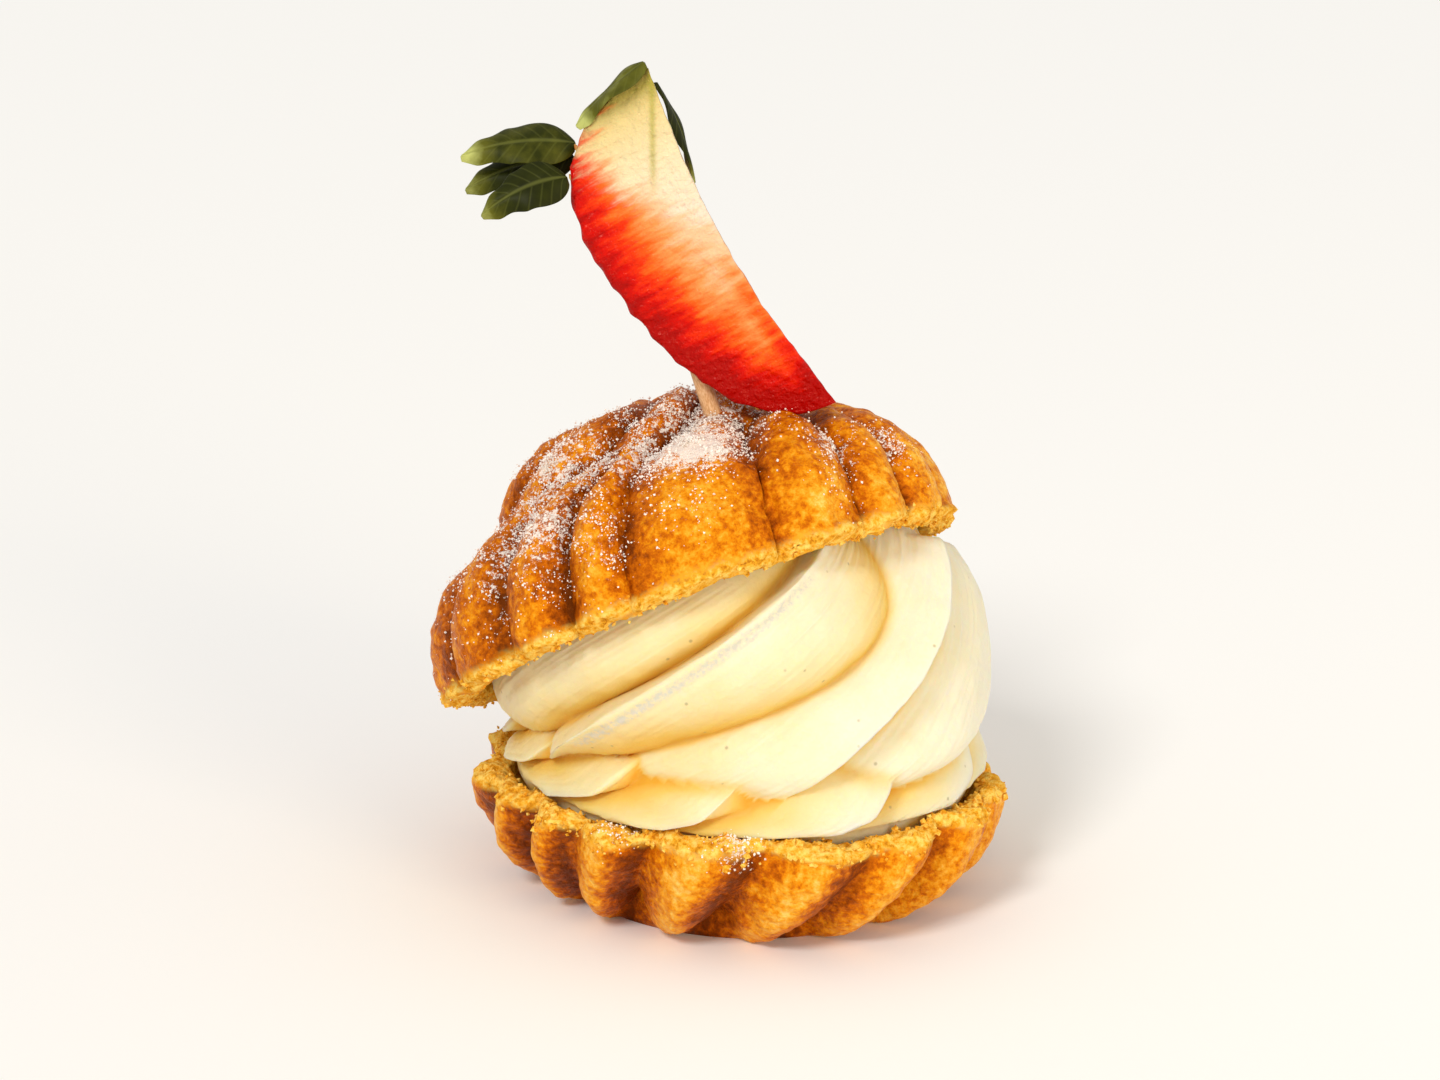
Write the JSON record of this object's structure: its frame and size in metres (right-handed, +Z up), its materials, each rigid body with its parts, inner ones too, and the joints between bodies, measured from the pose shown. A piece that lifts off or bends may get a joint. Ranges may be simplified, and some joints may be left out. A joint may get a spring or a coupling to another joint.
{
  "type": "cream puff",
  "caption": "Round choux bun cut across and filled with a piped cream swirl, its cap tilted open, with a strawberry wedge on a cocktail stick.",
  "frame": {"origin": "centre of the flat spot under the bun that it rests on", "axes": "+Z up, -Y towards the open side where the cream shows, +X to the right as seen from that side"},
  "size_m": [0.0664, 0.0625, 0.097],
  "materials": {
    "baked_choux": "baked pastry crust, matt, dusted with icing sugar",
    "whipped_cream": "piped vanilla cream, soft satin",
    "strawberry": "cut strawberry, moist",
    "strawberry_leaf": "fresh leaf, satin",
    "birch": "plain birch"
  },
  "bodies": {
    "root": {"choux_base": "baked_choux", "choux_lid": "baked_choux", "cream": "whipped_cream", "strawberry": "strawberry", "cocktail_stick": "birch", "leaf_upper": "strawberry_leaf", "leaf_middle": "strawberry_leaf", "leaf_lower": "strawberry_leaf", "leaf_shoulder": "strawberry_leaf", "leaf_back": "strawberry_leaf"}
  },
  "joints": []
}
